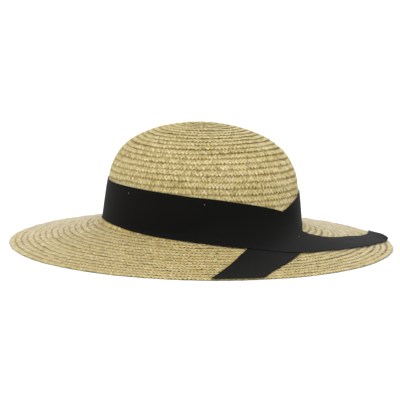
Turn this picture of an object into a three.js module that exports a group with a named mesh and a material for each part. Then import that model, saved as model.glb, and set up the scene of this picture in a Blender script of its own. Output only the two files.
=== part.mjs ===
// Wide-brim straw hat: a domed crown and a sloping brim, both sewn from straw braid, and one
// ribbon that runs round the crown, crosses itself at the front and ends in two tails on the brim.
// Millimetres and degrees, +Z up. The rim of the brim lies on z = 0. The head's long axis is Y,
// the ribbon crosses at -Y, and a turn is counted from -Y towards +X.
import * as THREE from 'three'
import { mergeVertices } from 'three/addons/utils/BufferGeometryUtils.js'

// Crown, measured outside. Its foot is where the line of the wall meets the line of the brim
const head_length = 206.6
const head_width = 173.6
const crown_height = 99
const wall_taper = 0.124
const dome_start = 4.9
const dome_roundness = 1.8
const top_widening = 0.095

// Brim. Its width is measured level, from the crown's foot to the rim, and is the same all round
const brim_width = 92.3
const brim_drop = 22.2
const brim_sag = 1.057
const rim_flat = 4

// How far the crown stands from the middle of the brim, and how far its top leans over its foot
const foot_shift = { x: 0.7, y: -1.2 }
const crown_lean = { x: 5.2, y: -1.0 }

// Sewn straw, its rounded corner at the crown's foot, and the seam where the brim meets the crown
const straw_thickness = 2
const straw_corner = 5
const seam_height = 8
const piece_gap = 0.3

// Ribbon. Near its crossing it spans the corner at the crown's foot in a wider curve
const ribbon_thickness = 1
const crossing_corner = 22
const crossing_spread = 80

// Facets
const turn_steps = 72
const dome_steps = 11
const brim_steps = 5
const corner_steps = 3
const ribbon_steps = 100
const ribbon_strips = 6

// The ribbon's sections, from the end of the front tail, round the back, to the end of the side
// tail. Each edge has a turn and a reach: up the crown's wall from its foot, or out along the
// brim when negative. lift is the ribbon's height above what it lies on, more where it crosses.
const ribbon_columns = ['upper_turn', 'upper_reach', 'lower_turn', 'lower_reach', 'lift']
const ribbon_rows = [
  [-58.5, -89, -43.5, -87, 0.3],
  [-55, -69, -40.3, -78, 0.3],
  [-51.3, -53, -36.8, -69.5, 0.3],
  [-46.8, -36, -32.3, -61, 0.3],
  [-41, -21, -27.3, -52, 0.3],
  [-32.5, -8, -20.5, -41, 0.3],
  [-22.5, 6, -12.5, -29, 0.3],
  [-12.5, 19, -4, -17, 0.3],
  [-4.5, 24.3, 2.5, -7.5, 0.3],
  [4, 28.3, 9, -2, 0.3],
  [13, 32, 17, 0, 0.3],
  [27, 35.5, 30, 1, 0.3],
  [48, 38, 50, 1.5, 0.3],
  [80, 39.5, 81, 2, 0.3],
  [115, 40, 115, 2, 0.3],
  [150, 40, 150, 2, 0.3],
  [185, 40, 185, 2, 0.3],
  [216, 39.7, 216, 2, 0.3],
  [238, 39.3, 238, 0.5, 0.3],
  [256, 38.7, 257, -1.5, 0.3],
  [276.5, 37.2, 276.5, -5.5, 0.5],
  [291, 35.7, 290.5, -10, 1.2],
  [304.5, 34.3, 302, -15.5, 1.9],
  [315, 32, 310.5, -20.5, 2.1],
  [325, 29.8, 318.5, -25, 2.1],
  [335, 26.7, 326, -31, 2.1],
  [343.5, 23.5, 332, -36.5, 2.1],
  [350.5, 19, 338, -42, 2.1],
  [356.5, 6, 343.5, -45, 2.1],
  [361, -9, 350.5, -48.5, 2.1],
  [366, -19, 357.5, -53.5, 2],
  [372.5, -28.5, 364.5, -58, 1.5],
  [380, -36.5, 372, -64.5, 0.9],
  [389, -47, 379, -71.5, 0.5],
  [398.5, -64, 386, -77.5, 0.3],
  [406, -77, 391.5, -84.5, 0.3],
  [414, -90, 398, -91, 0.3],
]

const straw_finish = new THREE.MeshStandardMaterial({ color: '#c9b684', roughness: 0.65, metalness: 0 })
const brim_finish = new THREE.MeshStandardMaterial({ color: '#cdbb8b', roughness: 0.65, metalness: 0 })
const ribbon_finish = new THREE.MeshStandardMaterial({ color: '#1c1d1e', roughness: 0.8, metalness: 0 })

// An oval section of the crown at a height above its foot
function wall_section(height) {
  const climb = Math.min(height / crown_height, 1)
  const dome = (1 - climb ** dome_start) ** (1 / dome_roundness)
  const share = (1 - wall_taper * climb) * dome
  return {
    half_length: (head_length / 2) * share,
    half_width: (head_width / 2) * share * (1 + top_widening * climb),
    z: brim_drop + height,
  }
}

// An oval section of the brim at a distance out from the crown's foot
function brim_section(out) {
  return {
    half_length: head_length / 2 + out,
    half_width: head_width / 2 + out,
    z: straw_thickness + (brim_drop - straw_thickness) * (1 - out / brim_width) ** brim_sag,
  }
}

// The outer surface at any reach. The corner is a parabola that starts and ends at reach = corner
function surface_section(reach, corner) {
  if (reach >= corner) return wall_section(reach)
  if (reach <= -corner) return brim_section(Math.min(-reach, brim_width))
  const up = (corner + reach) / (2 * corner)
  const [low, foot, high] = [brim_section(corner), brim_section(0), wall_section(corner)]
  const blend = (key) => (1 - up) ** 2 * low[key] + 2 * up * (1 - up) * foot[key] + up ** 2 * high[key]
  return { half_length: blend('half_length'), half_width: blend('half_width'), z: blend('z') }
}

// The same section, moved off the surface by lift, along the surface's outward normal
function lifted_section(reach, lift, corner) {
  const step = 0.05
  const here = surface_section(reach, corner)
  const below = surface_section(reach - step, corner)
  const above = surface_section(reach + step, corner)
  const rise = above.z - below.z
  const inward = below.half_length - above.half_length
  const slope = Math.hypot(rise, inward)
  return {
    half_length: Math.max(0, here.half_length + (lift * rise) / slope),
    half_width: Math.max(0, here.half_width + (lift * rise) / slope),
    z: here.z + (lift * inward) / slope,
  }
}

// Moves a point from the upright hat to the real one, whose crown stands and leans a little aside
function settle(point) {
  const climb = THREE.MathUtils.clamp((point.z - brim_drop) / crown_height, 0, 1)
  const near_foot = THREE.MathUtils.clamp(point.z / brim_drop, 0, 1)
  const dip = (point.x * crown_lean.x + point.y * crown_lean.y) / crown_height
  return new THREE.Vector3(
    point.x + foot_shift.x * near_foot + crown_lean.x * climb,
    point.y + foot_shift.y * near_foot + crown_lean.y * climb,
    point.z - dip * Math.min(1, 2 * climb),
  )
}

function section_point(section, turn) {
  const angle = THREE.MathUtils.degToRad(turn)
  const x = section.half_width * Math.sin(angle)
  const y = -section.half_length * Math.cos(angle)
  return settle(new THREE.Vector3(x, y, section.z))
}

// A closed mesh from a geometry whose vertices are all moved to where place_vertex says
function shaped_mesh(name, geometry, finish, place_vertex) {
  const vertices = geometry.attributes.position
  for (let index = 0; index < vertices.count; index += 1) {
    const vertex = new THREE.Vector3().fromBufferAttribute(vertices, index)
    const placed = place_vertex(vertex, index)
    vertices.setXYZ(index, placed.x, placed.y, placed.z)
  }
  geometry.deleteAttribute('normal')
  geometry.deleteAttribute('uv')
  const merged = mergeVertices(geometry, 0.001)
  merged.computeVertexNormals()
  const mesh = new THREE.Mesh(merged, finish)
  mesh.name = name
  return mesh
}

// Turns a list of oval sections about the hat's middle
function turned_mesh(name, sections, finish) {
  const outline = sections.map((section) => new THREE.Vector2(section.half_length, section.z))
  const geometry = new THREE.LatheGeometry(outline, turn_steps)
  return shaped_mesh(name, geometry, finish, (vertex, index) => {
    const section = sections[index % sections.length]
    const turn = (360 * Math.floor(index / sections.length)) / turn_steps
    return section_point(section, turn)
  })
}

function evenly(first, last, steps) {
  return Array.from({ length: steps + 1 }, (_, step) => first + ((last - first) * step) / steps)
}

// Crown: from its lower edge up over the outside to the top, and back down inside
function make_crown() {
  const lower_edge = seam_height + piece_gap
  const angles = evenly(0, Math.PI / 2, dome_steps)
  const reaches = angles.map((angle) => lower_edge + (crown_height - lower_edge) * Math.sin(angle))
  const outside = reaches.map((reach) => lifted_section(reach, 0, straw_corner))
  const inside = reaches.map((reach) => lifted_section(reach, -straw_thickness, straw_corner))
  const top = outside.length - 1
  outside[top] = { half_length: 0, half_width: 0, z: brim_drop + crown_height }
  inside[top] = { half_length: 0, half_width: 0, z: brim_drop + crown_height - straw_thickness }
  return turned_mesh('crown', [...outside, ...inside.reverse(), outside[0]], straw_finish)
}

// Brim: from the rim up to the seam under the crown, and back beneath. Its last row of braid is
// doubled, so the rim has a flat foot
function make_brim() {
  const reaches = [
    ...evenly(-brim_width, -straw_corner, brim_steps),
    ...evenly(-straw_corner, straw_corner, corner_steps).slice(1),
    seam_height,
  ]
  const above = reaches.map((reach) => lifted_section(reach, 0, straw_corner))
  const below = reaches.slice(1).map((reach) => lifted_section(reach, -straw_thickness, straw_corner))
  const rim_top = brim_section(brim_width)
  const rim_step = lifted_section(rim_flat - brim_width, -straw_thickness, straw_corner)
  const rim_foot = { ...rim_top, z: 0 }
  const step_foot = { ...rim_step, z: 0 }
  const section = [rim_foot, rim_top, ...above.slice(1), ...below.reverse(), rim_step, step_foot, rim_foot]
  return turned_mesh('brim', section, brim_finish)
}

// The corner that the ribbon spans at a turn: widest at the crossing, and the straw's own far off
function ribbon_corner(turn) {
  const away = Math.abs(THREE.MathUtils.euclideanModulo(turn + 180, 360) - 180)
  const near = THREE.MathUtils.smoothstep(crossing_spread - away, 0, crossing_spread)
  return THREE.MathUtils.lerp(straw_corner, crossing_corner, near)
}

// Ribbon: one strip from tail to tail, as a flat box bent to its table of sections. The middle
// line shares its steps out evenly along the ribbon's real length
function make_ribbon() {
  const column = (name) => ribbon_rows.map((row) => row[ribbon_columns.indexOf(name)])
  const edge_curve = (side) => {
    const reaches = column(side + '_reach')
    return new THREE.SplineCurve(
      column(side + '_turn').map((turn, row) => new THREE.Vector2(turn, reaches[row])),
    )
  }
  const upper = edge_curve('upper')
  const lower = edge_curve('lower')
  const lifts = column('lift')
  const last_row = lifts.length - 1
  const lift_at = (along) => {
    const row = Math.min(Math.floor(along * last_row), last_row - 1)
    return THREE.MathUtils.lerp(lifts[row], lifts[row + 1], along * last_row - row)
  }
  const ribbon_point = (along, across, height) => {
    const place = lower.getPoint(along).lerp(upper.getPoint(along), across)
    const lift = lift_at(along) + height
    return section_point(lifted_section(place.y, lift, ribbon_corner(place.x)), place.x)
  }
  const middle = new THREE.Curve()
  middle.arcLengthDivisions = 4 * ribbon_steps
  middle.getPoint = (along) => ribbon_point(along, 0.5, 0)
  const strip = new THREE.BoxGeometry(1, 1, 1, ribbon_steps, ribbon_strips, 1)
  return shaped_mesh('ribbon', strip, ribbon_finish, (vertex) => {
    const along = middle.getUtoTmapping(vertex.x + 0.5)
    return ribbon_point(along, vertex.y + 0.5, ribbon_thickness * (vertex.z + 0.5))
  })
}

const hat = new THREE.Group()
hat.add(make_crown(), make_brim(), make_ribbon())

export default hat
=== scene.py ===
# Wide-brim straw hat, in metres and degrees, +Z up. The rim of the brim lies on z = 0, the head's
# long axis is Y, the ribbon crosses itself at -Y, and a turn is counted from -Y towards +X.
import math

import bpy
import numpy as np
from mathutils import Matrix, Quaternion, Vector


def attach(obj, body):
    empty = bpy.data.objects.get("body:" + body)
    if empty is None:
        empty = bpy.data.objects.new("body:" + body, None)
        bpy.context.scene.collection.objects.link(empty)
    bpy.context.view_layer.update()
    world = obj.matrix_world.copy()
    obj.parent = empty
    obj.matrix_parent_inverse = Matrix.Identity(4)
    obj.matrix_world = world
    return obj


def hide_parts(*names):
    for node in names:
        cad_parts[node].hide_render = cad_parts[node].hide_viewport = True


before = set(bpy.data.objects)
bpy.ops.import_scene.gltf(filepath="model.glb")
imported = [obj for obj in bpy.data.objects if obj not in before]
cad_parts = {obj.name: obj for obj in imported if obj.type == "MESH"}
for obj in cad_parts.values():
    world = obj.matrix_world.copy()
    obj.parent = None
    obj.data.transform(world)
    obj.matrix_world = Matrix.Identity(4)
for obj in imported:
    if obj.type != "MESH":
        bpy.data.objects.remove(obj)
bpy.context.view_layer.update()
bpy.ops.object.select_all(action="DESELECT")
rng = np.random.default_rng(12)

# Crown. The real one is a flat plait of split wheat straw, sewn to itself in a spiral from the
# tip down. Each row is tucked under the edge of the one before, so the rows overlap as shingles
# do. The sewn straw is then steamed and pressed over a wooden block, which gives its oval dome.
head_length, head_width, crown_height = 0.2066, 0.1736, 0.099
wall_taper, dome_start, dome_roundness, top_widening = 0.124, 4.9, 1.8, 0.095
brim_width, brim_drop, brim_sag = 0.0923, 0.0222, 1.2
foot_shift, crown_lean = (0.0007, -0.0012), (0.0052, -0.001)
straw_thickness, straw_corner = 0.002, 0.005
slack_turn, slack_depth = 60, 0.002


def block_outline(reach, corner):
    """Half length, half width and height of the block's oval, at a reach up the wall from the
    crown's foot, or out along the brim when negative. The corner between them is a parabola."""
    reach, corner = np.broadcast_arrays(reach, corner)

    def wall(height):
        climb = np.clip(height / crown_height, 0, 1)
        share = (1 - wall_taper * climb) * (1 - climb**dome_start) ** (1 / dome_roundness)
        half_width = head_width / 2 * share * (1 + top_widening * climb)
        return np.stack([head_length / 2 * share, half_width, brim_drop + height], -1)

    def brim(out):
        fall = (1 - np.clip(out / brim_width, 0, 1)) ** brim_sag
        height = straw_thickness + (brim_drop - straw_thickness) * fall
        return np.stack([head_length / 2 + out, head_width / 2 + out, height], -1)

    up = ((corner + reach) / (2 * corner))[..., None]
    curved = (1 - up) ** 2 * brim(corner) + 2 * up * (1 - up) * brim(0 * corner) + up**2 * wall(corner)
    upright = (reach >= corner)[..., None]
    level = (reach <= -corner)[..., None]
    return np.where(upright, wall(reach), np.where(level, brim(-reach), curved))


def on_block(turn, reach, lift, corner=straw_corner):
    """Points on the block, or off it by lift along its outward normal."""
    normal_step = 0.00005
    here = block_outline(reach, corner)
    below = block_outline(reach - normal_step, corner)
    above = block_outline(np.minimum(reach + normal_step, crown_height), corner)
    rise, inward = above[..., 2] - below[..., 2], below[..., 0] - above[..., 0]
    slope = np.hypot(rise, inward)
    angle = np.radians(turn)
    x = np.maximum(0, here[..., 1] + lift * rise / slope) * np.sin(angle)
    y = -np.maximum(0, here[..., 0] + lift * rise / slope) * np.cos(angle)
    z = here[..., 2] + lift * inward / slope
    climb = np.clip((z - brim_drop) / crown_height, 0, 1)
    near_foot = np.clip(z / brim_drop, 0, 1)
    dip = (x * crown_lean[0] + y * crown_lean[1]) / crown_height * np.minimum(1, 2 * climb)
    x = x + foot_shift[0] * near_foot + crown_lean[0] * climb
    y = y + foot_shift[1] * near_foot + crown_lean[1] * climb
    one_side = (0.5 + 0.5 * np.cos(angle - math.radians(slack_turn))) ** 2
    slack = slack_depth * one_side * np.sin(math.pi * np.clip(-reach / brim_width, 0, 1))
    return np.stack([x, y, z - dip - slack], -1)


# The rows keep one distance from the tip where the dome is round, for 60 mm, and turn level with
# the foot in the next 60 mm. These tables give the reach of a row at any turn, from its distance.
table_step, wall_points, brim_points, past_rim = 5, 500, 400, 0.004
round_until, level_within = 0.060, 0.060
distance_step, nearest_tip = 0.00025, 0.00015
table_turns = np.arange(0, 361, table_step)
tip_to_foot = crown_height * (1 - np.linspace(0, 1, wall_points) ** dome_roundness)
foot_to_rim = np.linspace(0, brim_width + past_rim, brim_points)[1:]
table_reach = np.concatenate([tip_to_foot, -foot_to_rim])
meridians = on_block(table_turns[:, None], table_reach[None, :], 0)
lengths = np.linalg.norm(np.diff(meridians, axis=1), axis=-1).cumsum(axis=1)
lengths = np.concatenate([np.zeros((len(table_turns), 1)), lengths], axis=1)
mean_length = lengths[:-1].mean(axis=0)
levelling = np.clip((mean_length - round_until) / level_within, 0, 1)
distances = lengths + levelling * (mean_length - lengths)
rim_distance = np.interp(brim_width, -table_reach, mean_length)
even_distances = np.arange(0, mean_length[-1], distance_step)
reach_table = np.array([np.interp(even_distances, row, table_reach) for row in distances])


def reach_of_row(turn, distance):
    """The reach, at a turn, of the row that runs at a distance from the tip."""
    column = np.mod(turn, 360) / table_step
    place = np.clip(distance, nearest_tip, even_distances[-2]) / distance_step
    left, low = np.floor(column).astype(int), np.floor(place).astype(int)
    across, along = column - left, place - low
    near = reach_table[left, low] * (1 - along) + reach_table[left, low + 1] * along
    far = reach_table[left + 1, low] * (1 - along) + reach_table[left + 1, low + 1] * along
    return near * (1 - across) + far * across


# The plait has three straws, each a tooth further on than the one before. A straw swings to both
# sides of the plait's middle by three quarters of a tooth, in steps of half a tooth.
straws, tooth, swing = 3, 0.0036, 0.75
straw_width = 1.15 * tooth
plait_width = 2 * swing * tooth + straw_width
straw_wall, weave_height = 0.0003, 0.00016
repeat_merge, end_merge, crease_angle = 0.00001, 0.000001, math.radians(40)
row_pitch, first_row = 0.00602, 0.00149


def make_plait(name, repeats):
    """A straight plait of flat straws along X, each a tape with a low ridge that goes over and
    under the others and folds back at the plait's edges, which gives the edges their teeth."""
    bpy.ops.object.select_all(action="DESELECT")
    bpy.ops.mesh.primitive_circle_add(vertices=3, radius=1, rotation=(math.pi / 2, 0, math.pi / 2))
    bpy.ops.object.transform_apply(rotation=True)
    bpy.ops.object.mode_set(mode="EDIT")
    bpy.ops.mesh.select_all(action="SELECT")
    # a triangle of radius 1 is the square root of 3 wide and 1.5 high
    bpy.ops.transform.resize(
        value=(1, straw_width / math.sqrt(3), straw_wall / 1.5), center_override=(0, 0, 0)
    )
    bpy.ops.transform.translate(value=(0, -swing * tooth, 0))
    heights = [0, weave_height, -weave_height, 0, weave_height, -weave_height, 0]
    for station in range(2 * straws):
        climb = tooth / 2 if station < straws else -tooth / 2
        step = (tooth / 2, climb, heights[station + 1] - heights[station])
        bpy.ops.mesh.extrude_region_move(TRANSFORM_OT_translate={"value": step})
    bpy.ops.mesh.select_all(action="SELECT")
    for _ in range(straws - 1):
        bpy.ops.mesh.duplicate_move(TRANSFORM_OT_translate={"value": (tooth, 0, 0)})
    bpy.ops.object.mode_set(mode="OBJECT")
    plait = bpy.context.object
    plait.name = plait.data.name = name
    numbers = np.repeat(np.arange(float(straws)), len(plait.data.vertices) // straws)
    plait.data.attributes.new("straw", "FLOAT", "POINT").data.foreach_set("value", numbers)
    bpy.ops.object.modifier_add(type="ARRAY")
    array = plait.modifiers[0]
    array.count = repeats
    array.use_relative_offset, array.use_constant_offset = False, True
    array.constant_offset_displace = (straws * tooth, 0, 0)
    array.use_merge_vertices, array.merge_threshold = True, repeat_merge
    bpy.ops.object.modifier_apply(modifier=array.name)
    return plait


patch_steps = 12
darkest_tone, step_tone, patch_tone = 0.05, 0.55, 0.35
pattern_gap = 0.05
# painted shade under the row before: how far inside that row's edge it starts, and how far it takes to
# deepen
painted_shade_margin, painted_shade_fade = 0.0001, 0.0011


def grow_straws(plait, covered_from=0.0):
    """Gives each straw its own place in the fibre pattern, and a tone that changes along it. From
    covered_from onwards the row before covers the plait's inner edge, which gets painted shade there."""
    mesh = plait.data
    flat = np.empty(len(mesh.vertices) * 3)
    mesh.vertices.foreach_get("co", flat)
    x, y, z = flat.reshape(-1, 3).T
    straw = np.empty(len(x))
    mesh.attributes["straw"].data.foreach_get("value", straw)
    straw = straw.round()
    station = np.round((x - straw * tooth) / (tooth / 2)).astype(int)
    across = y - (swing - np.abs(station % (2 * straws) - straws) / 2) * tooth
    steps = station.max() + 2
    patches = rng.random((straws, steps // patch_steps + 3))
    places = np.arange(steps) / patch_steps
    index = places.astype(int)
    blend = places - index
    slow = patches[:, index] * (1 - blend) + patches[:, index + 1] * blend
    tones = darkest_tone + step_tone * rng.random((straws, steps)) + patch_tone * slow
    tone = tones[straw.astype(int), station]
    mesh.attributes.new("tone", "FLOAT", "POINT").data.foreach_set("value", tone)
    fibre = np.stack([(x - straw * tooth) * math.sqrt(2), across, straw * pattern_gap], -1)
    mesh.attributes.new("fibre", "FLOAT_VECTOR", "POINT").data.foreach_set("vector", fibre.ravel())
    # painted shade: the inner edge, under the row before, is marked for a darker colour that stands in
    # for that row's shadow
    painted_tuck_shade = np.clip((plait_width / 2 - row_pitch - painted_shade_margin - y) / painted_shade_fade, 0, 1)
    painted_tuck_shade = painted_tuck_shade * (x >= covered_from)
    mesh.attributes.new("painted_tuck_shade", "FLOAT", "POINT").data.foreach_set("value", painted_tuck_shade)
    return x, y, z


def waver(along, spacing, size):
    """The sewer's unevenness: a smooth random offset, with a new value at every spacing. It starts
    again past the plait's length, where the second and third straw still go on for a tooth or two."""
    length = along.max() - 2 * tooth
    knots = rng.uniform(-size, size, max(2, round(length / spacing)))
    place = np.mod(along / length, 1) * len(knots)
    return np.interp(place, np.arange(len(knots) + 1), np.append(knots, knots[0]))


outer_depth, seam_press, pressed_share = 0.0005, 0.62, 0.3
row_waver, edge_waver, edge_unevenness = (0.025, 0.0005), (0.012, 0.0003), 0.6
floor_clearance = 0.0001


def lay_on_block(plait, flat, turn, distance, inner_depth, unevenness, sink=0.0, curl=0.0):
    """Bends the straight plait so that its middle line runs at a turn and a distance from the
    tip. Its outer edge lies higher than its inner edge, which is sewn up against the row before."""
    x, y, z = flat
    outward = 0.5 + y / plait_width
    lean = outer_depth + (inner_depth - outer_depth) * (1 - outward)
    lean = lean - seam_press * (inner_depth - outer_depth) * np.clip(1 - outward / pressed_share, 0, 1)
    distance = distance + waver(x, *row_waver) + waver(x, tooth, unevenness)
    pressed = outward * (waver(x, *edge_waver) + waver(x, tooth, edge_unevenness * unevenness))
    lift = z - lean - sink - curl * outward**4 + pressed
    placed = on_block(turn, reach_of_row(turn, distance + y), lift)
    placed[:, 2] = np.maximum(placed[:, 2], floor_clearance)
    plait.data.vertices.foreach_set("co", placed.ravel())
    plait.data.update()


def close_up(plait):
    """Joins the plait's repeats and closes the straws' cut ends."""
    bpy.ops.object.select_all(action="DESELECT")
    bpy.context.view_layer.objects.active = plait
    plait.select_set(True)
    bpy.ops.object.mode_set(mode="EDIT")
    bpy.ops.mesh.select_all(action="SELECT")
    bpy.ops.mesh.remove_doubles(threshold=end_merge)
    bpy.ops.mesh.fill_holes(sides=3)
    bpy.ops.mesh.normals_make_consistent(inside=False)
    bpy.ops.object.mode_set(mode="OBJECT")
    bpy.ops.object.shade_smooth_by_angle(angle=crease_angle)


foot_row, tip_hole, turn_step = 0.0083, 0.0025, 2
first_turn, covered_from = 0.35, 0.022
crown_unevenness, deepening, crown_depths = 0.0003, (400, 900), (0.0005, 0.0016)
crown_swell, swell_start, swell_fade = 0.0007, 0.0405, 0.006
last_row = np.interp(-foot_row, -table_reach, mean_length)
spiral_turns = (last_row - first_row) / row_pitch
spiral = np.arange(360 * first_turn, 360 * spiral_turns, turn_step)
spiral_middle = first_row + row_pitch * spiral / 360 - plait_width / 2
spiral_reach = reach_of_row(-spiral, np.maximum(spiral_middle, tip_hole))
spiral_line = on_block(-spiral, spiral_reach, -outer_depth)
spiral_length = np.linalg.norm(np.diff(spiral_line, axis=0), axis=-1).cumsum()
spiral_length = np.concatenate([[0], spiral_length])
crown_plait = make_plait("crown_straw", int(spiral_length[-1] / (straws * tooth)))
flat_plait = grow_straws(crown_plait, covered_from)
wound = np.interp(flat_plait[0], spiral_length, spiral)
wound_middle = first_row + row_pitch * wound / 360 - plait_width / 2
# the plait lies flat round the tip, and further down its inner edge goes deep under the last row
crown_inner_depth = np.interp(wound, deepening, crown_depths)
# above the ribbon, which draws it in, the straw stands out a little further
crown_reach = reach_of_row(-wound, wound_middle + flat_plait[1])
swell = crown_swell * np.clip((crown_reach - swell_start) / swell_fade, 0, 1)
lay_on_block(crown_plait, flat_plait, -wound, wound_middle, crown_inner_depth, crown_unevenness,
             sink=-swell)
close_up(crown_plait)

# Straw finish: wheat straw that was split, bleached and plaited, left natural. It is smooth and
# faintly waxy along each straw, with fine lengthwise fibres, and every straw has its own tone.


def linear(code):
    """A linear colour from an sRGB hex value."""
    parts = [int(code[place : place + 2], 16) / 255 for place in (1, 3, 5)]
    return [p / 12.92 if p <= 0.04045 else ((p + 0.055) / 1.055) ** 2.4 for p in parts] + [1]


def add_node(tree, kind, settings=None, **links):
    """Adds a node, with its settings by attribute or input name, and links into its inputs, by
    the input's name or by its number, as in _0."""
    made = tree.nodes.new(kind)
    for key, value in (settings or {}).items():
        if hasattr(made, key):
            setattr(made, key, value)
        else:
            made.inputs[key].default_value = value
    for key, source in links.items():
        socket = made.inputs[int(key[1:])] if key[1:].isdigit() else made.inputs[key.replace("_", " ")]
        tree.links.new(source, socket)
    return made


def straw_finish(name, stops, painted_tuck_shade_colour, haze=0.0):
    """The straw, with the colours of its tones from dark to light, a darker colour painted as shade
    where the row before covers a row, and the share of its surface that is fuzzy with loose fibres."""
    straw = bpy.data.materials.new(name)
    straw.use_nodes = True
    tree = straw.node_tree
    tree.nodes.clear()
    tone = add_node(tree, "ShaderNodeAttribute", {"attribute_name": "tone"})
    ramp = add_node(tree, "ShaderNodeValToRGB", Fac=tone.outputs["Fac"])
    elements = ramp.color_ramp.elements
    while len(elements) < len(stops):
        elements.new(0.5)
    for element, (place, code) in zip(elements, stops):
        element.position, element.color = place, linear(code)
    fibre = add_node(tree, "ShaderNodeAttribute", {"attribute_name": "fibre"})
    # streaks about 1 mm wide and 3 mm long, with fibres a quarter of that width in them
    stretch = add_node(tree, "ShaderNodeMapping", {"Scale": (350, 1100, 1000)},
                       Vector=fibre.outputs["Vector"])
    streaks = add_node(tree, "ShaderNodeTexNoise", {"Scale": 1, "Detail": 3, "Roughness": 0.6},
                       Vector=stretch.outputs["Vector"])
    light = add_node(tree, "ShaderNodeMapRange",
                     {"From Min": 0.3, "From Max": 0.7, "To Min": 0.62, "To Max": 1.26},
                     Value=streaks.outputs["Fac"])
    # the shadow between neighbouring straws, from two thirds of the way to a straw's edge
    side = add_node(tree, "ShaderNodeSeparateXYZ", Vector=fibre.outputs["Vector"])
    off_middle = add_node(tree, "ShaderNodeMath", {"operation": "ABSOLUTE"}, _0=side.outputs["Y"])
    gap = add_node(tree, "ShaderNodeMapRange",
                   {"From Min": 0.33 * tooth, "From Max": 0.5 * tooth, "To Min": 1, "To Max": 0.52},
                   Value=off_middle.outputs["Value"])
    light = add_node(tree, "ShaderNodeMath", {"operation": "MULTIPLY"},
                     _0=light.outputs["Result"], _1=gap.outputs["Result"])
    # small dark pits, where a straw has split or a needle went through, in a pattern of 2 mm
    pits = add_node(tree, "ShaderNodeTexNoise", {"Scale": 480, "Detail": 0},
                    Vector=fibre.outputs["Vector"])
    pit_light = add_node(tree, "ShaderNodeMapRange",
                         {"From Min": 0.28, "From Max": 0.36, "To Min": 0.5, "To Max": 1},
                         Value=pits.outputs["Fac"])
    light = add_node(tree, "ShaderNodeMath", {"operation": "MULTIPLY"},
                     _0=light.outputs["Value"], _1=pit_light.outputs["Result"])
    streaked = add_node(tree, "ShaderNodeVectorMath", {"operation": "SCALE"},
                        _0=ramp.outputs["Color"], Scale=light.outputs["Value"])
    # painted shade: the part under the row before is multiplied by a darker colour, for that row's
    # shadow
    painted_tuck_shade = add_node(tree, "ShaderNodeAttribute", {"attribute_name": "painted_tuck_shade"})
    shaded = add_node(tree, "ShaderNodeMix", {"data_type": "RGBA", "blend_type": "MULTIPLY"},
                      _0=painted_tuck_shade.outputs["Fac"], _6=streaked.outputs["Vector"])
    shaded.inputs[7].default_value = linear(painted_tuck_shade_colour)
    bump = add_node(tree, "ShaderNodeBump", {"Strength": 0.4, "Distance": 0.0002},
                    Height=streaks.outputs["Fac"])
    shader = add_node(tree, "ShaderNodeBsdfPrincipled",
                      {"Roughness": 0.65, "Specular IOR Level": 0.1, "Sheen Roughness": 0.3},
                      Base_Color=shaded.outputs[2], Normal=bump.outputs["Normal"])
    if haze:
        # fine loose fibres catch the light at a low angle, but not where the row before covers them
        fuzz = add_node(tree, "ShaderNodeMapRange", {"To Min": haze, "To Max": 0},
                        Value=painted_tuck_shade.outputs["Fac"])
        tree.links.new(fuzz.outputs["Result"], shader.inputs["Sheen Weight"])
    add_node(tree, "ShaderNodeOutputMaterial", Surface=shader.outputs["BSDF"])
    return straw


crown_straw = straw_finish(
    "wheat_straw_crown",
    [(0.08, "#9b915c"), (0.3, "#b8a86f"), (0.5, "#c9b981"), (0.72, "#d5c695"), (0.92, "#dfd1ae")],
    # the last colour is the painted shade under the row before
    "#a07a38",
)
crown_plait.data.materials.append(crown_straw)
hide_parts("crown")
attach(crown_plait, "root")

# Brim. The same straw plait goes on from the crown's foot to the rim, sewn row to row, and each row
# closes on itself here. The last one is doubled: a second row, sewn under it, stiffens the rim.
brim_rows, joint_spacing = 17, 37
brim_inner_depth, brim_unevenness = 0.0012, 0.0005
under_inset, under_sink, rim_curl = 0.0012, 0.0007, 0.0011
brim_pieces = []
for row in range(-1, brim_rows):
    outer_edge = rim_distance - (row * row_pitch if row >= 0 else under_inset)
    middle = outer_edge - plait_width / 2
    around = np.arange(0, 361, turn_step)
    row_line = on_block(around, reach_of_row(around, middle), -outer_depth)
    row_length = np.linalg.norm(np.diff(row_line, axis=0), axis=-1).sum()
    repeats = round(row_length / (straws * tooth))
    ring = make_plait(f"brim_row_{row + 1}", repeats)
    flat_plait = grow_straws(ring)
    round_turn = joint_spacing * row - 360 * flat_plait[0] / (repeats * straws * tooth)
    sink, curl = {-1: (under_sink, 0), 0: (0, rim_curl)}.get(row, (0, 0))
    lay_on_block(ring, flat_plait, round_turn, middle, brim_inner_depth, brim_unevenness, sink, curl)
    brim_pieces.append(ring)
bpy.ops.object.select_all(action="DESELECT")
for ring in brim_pieces:
    ring.select_set(True)
brim_plait = brim_pieces[0]
bpy.context.view_layer.objects.active = brim_plait
bpy.ops.object.join()
brim_plait.name = brim_plait.data.name = "brim_straw"
close_up(brim_plait)
brim_straw = straw_finish(
    "wheat_straw_brim",
    [(0.08, "#a09056"), (0.3, "#b9a564"), (0.5, "#c7b473"), (0.72, "#d1bf88"), (0.92, "#d9c9a2")],
    # the last colour is the painted shade under the row before
    "#b28d49", haze=1.0,
)
brim_plait.data.materials.append(brim_straw)
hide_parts("brim")
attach(brim_plait, "root")

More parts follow.
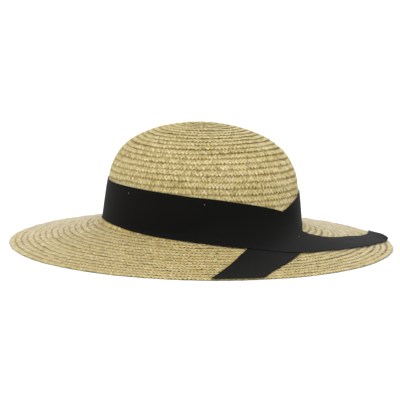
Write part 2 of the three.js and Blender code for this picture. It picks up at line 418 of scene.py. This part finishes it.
# Ribbon. The real one is a black grosgrain ribbon about 42 mm wide, a ribbed weave with firm
# edges. It lies on the brim as the front tail, goes once round the crown, crosses over itself and
# ends as the side tail. It is tacked to the straw with a few stitches.
ribbon_rows = np.array([
    # upper turn and reach, lower turn and reach, lift; reaches and lifts in millimetres
    (-59.2, -91.5, -43.8, -90, 0.3), (-55, -69, -40.3, -78, 0.3), (-51.3, -53, -36.8, -69.5, 0.3),
    (-46.8, -36, -32.3, -61, 0.3), (-41, -21, -27.3, -52, 0.3), (-32.5, -8, -20.5, -41, 0.3),
    (-22.5, 6, -12.5, -29, 0.3), (-12.5, 19, -4, -17, 0.3), (-4.5, 24.3, 2.5, -7.5, 0.3),
    (4, 28.3, 9, -2, 0.3), (13, 32, 17, 1.2, 0.3), (27, 34.6, 30, 2.6, 0.3),
    (48, 35.8, 50, 0.8, 0.3), (80, 37.7, 81, -0.3, 0.3), (115, 39.2, 115, 0, 0.3),
    (150, 39.8, 150, 0, 0.3), (185, 40, 185, 0.5, 0.3),
    (216, 39.7, 216, 2.4, 0.3), (238, 39.3, 238, 1.4, 0.3), (256, 38.7, 257, -1.5, 0.3),
    (276.5, 37.2, 276.5, -5.5, 0.5), (291, 35.7, 290.5, -10, 1.2), (304.5, 34.3, 302, -15.5, 1.9),
    (315, 32, 310.5, -20.5, 2.1), (325, 29.8, 318.5, -25, 2.1), (335, 26.7, 326, -31, 2.1),
    (343.5, 23.5, 332, -36.5, 2.1), (350.5, 19, 338, -41.3, 2.1), (359, 6, 343.5, -43.6, 2.1),
    (364.2, -9.5, 350.5, -45.8, 2.1), (368.3, -19.5, 357.5, -50.3, 2), (373, -28.5, 364.5, -54.8, 1.5),
    (380, -36.5, 372, -61.3, 0.9), (389, -47, 379, -69.5, 0.5), (397.5, -64.5, 385.5, -76.8, 0.3),
    (404, -77.5, 390.5, -85.5, 0.3), (411.8, -90, 396.3, -92, 0.3),
]) * (1, 0.001, 1, 0.001, 0.001)
# the table's lifts are for a ribbon 1 mm thick, and this one needs about a quarter of them
lift_share, ribbon_thickness, ribbon_height = 0.24, 0.00032, 0.0002
crossing_corner, crossing_spread, first_spread = 0.014, 80, 25
bridge_corner, bridge_turn, bridge_spread = 0.030, 325, 45
curl_start, curl_height, curl_crest, curl_width = 0.96, 0.00135, 0.33, 4.8
row_edge_height, row_crest, edge_start, edge_fade = 0.0011, 0.75, 0.85, 0.05
ribbon_steps, ribbon_strips = 520, 24


def through_rows(along, columns):
    """A smooth curve through the table's rows, evenly numbered from 0 to 1."""
    last = len(ribbon_rows) - 1
    place = np.clip(along, 0, 1) * last
    row = np.minimum(place.astype(int), last - 1)
    share = (place - row)[:, None]
    points = ribbon_rows[:, columns]
    before, first = points[np.maximum(row - 1, 0)], points[row]
    second, after = points[row + 1], points[np.minimum(row + 2, last)]
    leave, arrive = (second - before) / 2, (after - first) / 2
    cubic = (2 * first - 2 * second + leave + arrive) * share**3
    square = (3 * second - 3 * first - 2 * leave - arrive) * share**2
    return cubic + square + leave * share + first


def ribbon_surface(along, across, height):
    """Points on the ribbon, from 0 at the front tail's end to 1 at the side tail's end along it,
    and from 0 at its lower edge to 1 at its upper edge across it."""
    lower, upper = through_rows(along, [2, 3]), through_rows(along, [0, 1])
    turn, reach = (lower + (upper - lower) * across[:, None]).T
    last = len(ribbon_rows) - 1
    lift = np.interp(along * last, np.arange(last + 1), ribbon_rows[:, 4])
    away = np.abs(np.mod(turn + 180, 360) - 180)
    over = along > 0.5
    spread = np.where(~over & (turn > 0), first_spread, crossing_spread)
    near = np.clip((spread - away) / spread, 0, 1)
    corner = straw_corner + (crossing_corner - straw_corner) * near**2 * (3 - 2 * near)
    # pulled tight on its way down to the brim, the top layer spans the corner at the crown's foot
    bridge = np.clip(1 - np.abs(turn - bridge_turn) / bridge_spread, 0, 1) * over
    corner = corner + (bridge_corner - corner) * bridge**2 * (3 - 2 * bridge)
    end = np.clip((along - curl_start) / (1 - curl_start), 0, 1) ** 2
    curl = curl_height * end * (0.5 + 0.5 * np.cos(curl_width * (across - curl_crest)))
    # the side tail's lower edge rises to the edge of each row of straw, and drops past it
    rows = (np.interp(-reach, -table_reach, mean_length) - rim_distance) / row_pitch
    climb = rows - np.floor(rows)
    step_shape = np.minimum(climb / row_crest, (1 - climb) / (1 - row_crest))
    edge = row_edge_height * step_shape * (1 - across) ** 3
    edge = edge * np.clip((along - edge_start) / edge_fade, 0, 1)
    return on_block(turn, reach, lift_share * lift + height + curl + edge, corner)


dense = np.linspace(0, 1, 2000)
middle_line = ribbon_surface(dense, np.full(len(dense), 0.5), 0.0)
middle_length = np.linalg.norm(np.diff(middle_line, axis=0), axis=-1).cumsum()
middle_length = np.concatenate([[0], middle_length])
bpy.ops.object.select_all(action="DESELECT")
bpy.ops.mesh.primitive_grid_add(x_subdivisions=ribbon_steps, y_subdivisions=ribbon_strips, size=1)
ribbon = bpy.context.object
ribbon.name = ribbon.data.name = "ribbon_grosgrain"
flat = np.empty(len(ribbon.data.vertices) * 3)
ribbon.data.vertices.foreach_get("co", flat)
flat = flat.reshape(-1, 3)
share = np.interp((flat[:, 0] + 0.5) * middle_length[-1], middle_length, dense)
placed = ribbon_surface(share, flat[:, 1] + 0.5, ribbon_height)
ribbon.data.vertices.foreach_set("co", placed.ravel())
ribbon.data.update()
bpy.ops.object.modifier_add(type="SOLIDIFY")
ribbon.modifiers[0].thickness, ribbon.modifiers[0].offset = ribbon_thickness, 0
bpy.ops.object.modifier_apply(modifier=ribbon.modifiers[0].name)
bpy.ops.object.mode_set(mode="EDIT")
bpy.ops.mesh.select_all(action="SELECT")
bpy.ops.mesh.normals_make_consistent(inside=False)
bpy.ops.object.mode_set(mode="OBJECT")
bpy.ops.object.shade_smooth_by_angle(angle=crease_angle)
# Three tacks hold the ribbon: single stitches of grey thread, 0.4 mm thick, across the ribbon.
tack_places = ((0.516, 0.85), (0.597, 0.882), (0.777, 0.606))
tack_ends, tack_height, thread_radius = np.array([-0.012, 0.018]), 0.0006, 0.0002
tacks = []
for along, across in tack_places:
    ends = ribbon_surface(np.array([along, along]), across + tack_ends, tack_height)
    way = Vector(ends[1] - ends[0])
    bpy.ops.mesh.primitive_uv_sphere_add(segments=8, ring_count=6, radius=1)
    tack = bpy.context.object
    tack.scale = (thread_radius, thread_radius, way.length / 2 + thread_radius)
    tack.rotation_euler = way.to_track_quat("Z", "Y").to_euler()
    tack.location = (ends[0] + ends[1]) / 2
    tacks.append(tack)
for tack in tacks:
    tack.select_set(True)
bpy.ops.object.join()
stitches = bpy.context.object
stitches.name = stitches.data.name = "ribbon_tacks"
bpy.ops.object.transform_apply(location=True, rotation=True, scale=True)
bpy.ops.object.shade_smooth()
# Thread finish: spun grey cotton, dull, whose plies twist round each other every half millimetre.
# A wave texture of scale 1 repeats every tau / 20 of a metre.
twist_pitch = 0.0005
thread = bpy.data.materials.new("grey_cotton_thread")
thread.use_nodes = True
tree = thread.node_tree
tree.nodes.clear()
spot = add_node(tree, "ShaderNodeTexCoord")
plies = add_node(tree, "ShaderNodeTexWave", {"Scale": math.tau / 20 / twist_pitch, "Distortion": 1},
                 Vector=spot.outputs["Object"])
plies.bands_direction = "DIAGONAL"
# painted shade: the colour is darker in the hollows between the plies and lighter on their crests,
# following the same wave as the bump
ply_painted_shade = add_node(tree, "ShaderNodeMix", {"data_type": "RGBA"}, _0=plies.outputs["Fac"])
ply_painted_shade.inputs[6].default_value = linear("#6c6a65")
ply_painted_shade.inputs[7].default_value = linear("#918f88")
ply_bump = add_node(tree, "ShaderNodeBump", {"Strength": 0.5, "Distance": 0.00005},
                    Height=plies.outputs["Fac"])
cotton = add_node(tree, "ShaderNodeBsdfPrincipled", {"Roughness": 0.6},
                  Base_Color=ply_painted_shade.outputs[2], Normal=ply_bump.outputs["Normal"])
add_node(tree, "ShaderNodeOutputMaterial", Surface=cotton.outputs["BSDF"])
stitches.data.materials.append(thread)
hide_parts("ribbon")
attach(stitches, "root")
# Grosgrain finish: a weave of dyed black yarn with thick weft ribs across it, 1.2 mm apart. It is
# matte, takes up nearly all light, and shows its ribs only as a faint change of shade.
ribbon_width, rib_pitch = 0.042, 0.0012
grosgrain = bpy.data.materials.new("black_grosgrain")
grosgrain.use_nodes = True
tree = grosgrain.node_tree
tree.nodes.clear()
place = add_node(tree, "ShaderNodeUVMap", {"uv_map": "UVMap"})
sizes = add_node(tree, "ShaderNodeMapping", {"Scale": (float(middle_length[-1]), ribbon_width, 1)},
                 Vector=place.outputs["UV"])
ribs = add_node(tree, "ShaderNodeTexWave", {"Scale": math.tau / 20 / rib_pitch, "Distortion": 0.3,
                                            "Detail": 1, "Detail Scale": 4},
                Vector=sizes.outputs["Vector"])
ribs.bands_direction = "X"
# the yarn's unevenness, in specks of about 1 mm
grain = add_node(tree, "ShaderNodeTexNoise", {"Scale": 900, "Detail": 2},
                 Vector=sizes.outputs["Vector"])
tint = add_node(tree, "ShaderNodeMix", {"data_type": "RGBA"}, _0=grain.outputs["Fac"])
tint.inputs[6].default_value = linear("#090908")
tint.inputs[7].default_value = linear("#0e0e0d")
rib_bump = add_node(tree, "ShaderNodeBump", {"Strength": 0.5, "Distance": 0.00008},
                    Height=ribs.outputs["Fac"])
cloth = add_node(tree, "ShaderNodeBsdfPrincipled",
                 {"Roughness": 0.75, "Specular IOR Level": 0.07, "Sheen Weight": 0.03,
                  "Sheen Roughness": 0.4},
                 Base_Color=tint.outputs[2], Normal=rib_bump.outputs["Normal"])
add_node(tree, "ShaderNodeOutputMaterial", Surface=cloth.outputs["BSDF"])
ribbon.data.materials.append(grosgrain)
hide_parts("ribbon")
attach(ribbon, "root")

# Set. A pale matte paper floor that the rim rests on, and soft light from all round, as in a white
# photographer's tent: a broad light above, one low at the back on the right, a bright surround.
bpy.ops.mesh.primitive_plane_add(size=60)
floor = bpy.context.object
floor.name = "floor"
floor.data.materials.append(bpy.data.materials.new("floor_paper"))
floor.data.materials[0].use_nodes = True
paper = floor.data.materials[0].node_tree.nodes["Principled BSDF"]
paper.inputs["Base Color"].default_value = linear("#f9f9f9")
paper.inputs["Roughness"].default_value = 0.9
world = bpy.data.worlds.new("tent")
bpy.context.scene.world = world
world.use_nodes = True
world.node_tree.nodes["Background"].inputs["Color"].default_value = linear("#ffffff")
world.node_tree.nodes["Background"].inputs["Strength"].default_value = 1.065
hat_middle = Vector((0, 0, 0.05))


def add_light(name, azimuth, elevation, distance, size, power):
    """A square softbox that faces the middle of the hat."""
    turn, rise = math.radians(azimuth), math.radians(elevation)
    way = Vector((math.sin(turn) * math.cos(rise), -math.cos(turn) * math.cos(rise), math.sin(rise)))
    bpy.ops.object.light_add(type="AREA", location=hat_middle + distance * way)
    lamp = bpy.context.object
    lamp.name = name
    lamp.rotation_euler = way.to_track_quat("Z", "Y").to_euler()
    lamp.data.size, lamp.data.energy = size, power


add_light("top_softbox", azimuth=-75, elevation=60, distance=1.6, size=1.2, power=6.6)
add_light("back_softbox", azimuth=95, elevation=35, distance=2.0, size=1.0, power=5.5)

# Camera: 10.9 degrees above the level and 2 m from the hat's origin, with a long lens. It looks at
# a point 43 mm above the origin and is rolled by 0.15 of a degree.
camera_azimuth, camera_elevation = math.radians(-60), math.radians(10.884)
camera_distance, look_height, camera_roll = 2.0, 0.043, math.radians(0.15)
toward = Vector((math.sin(camera_azimuth) * math.cos(camera_elevation),
                 -math.cos(camera_azimuth) * math.cos(camera_elevation),
                 math.sin(camera_elevation)))
above = toward.to_track_quat("Z", "Y") @ Vector((0, look_height, 0))
facing = (toward * camera_distance - above).to_track_quat("Z", "Y")
bpy.ops.object.camera_add(location=toward * camera_distance)
camera = bpy.context.object
camera.rotation_euler = (facing @ Quaternion((0, 0, 1), camera_roll)).to_euler()
camera.data.lens, camera.data.sensor_width = 180, 36
camera.data.clip_end = 100
bpy.context.scene.camera = camera
bpy.context.scene.view_settings.view_transform = "Standard"
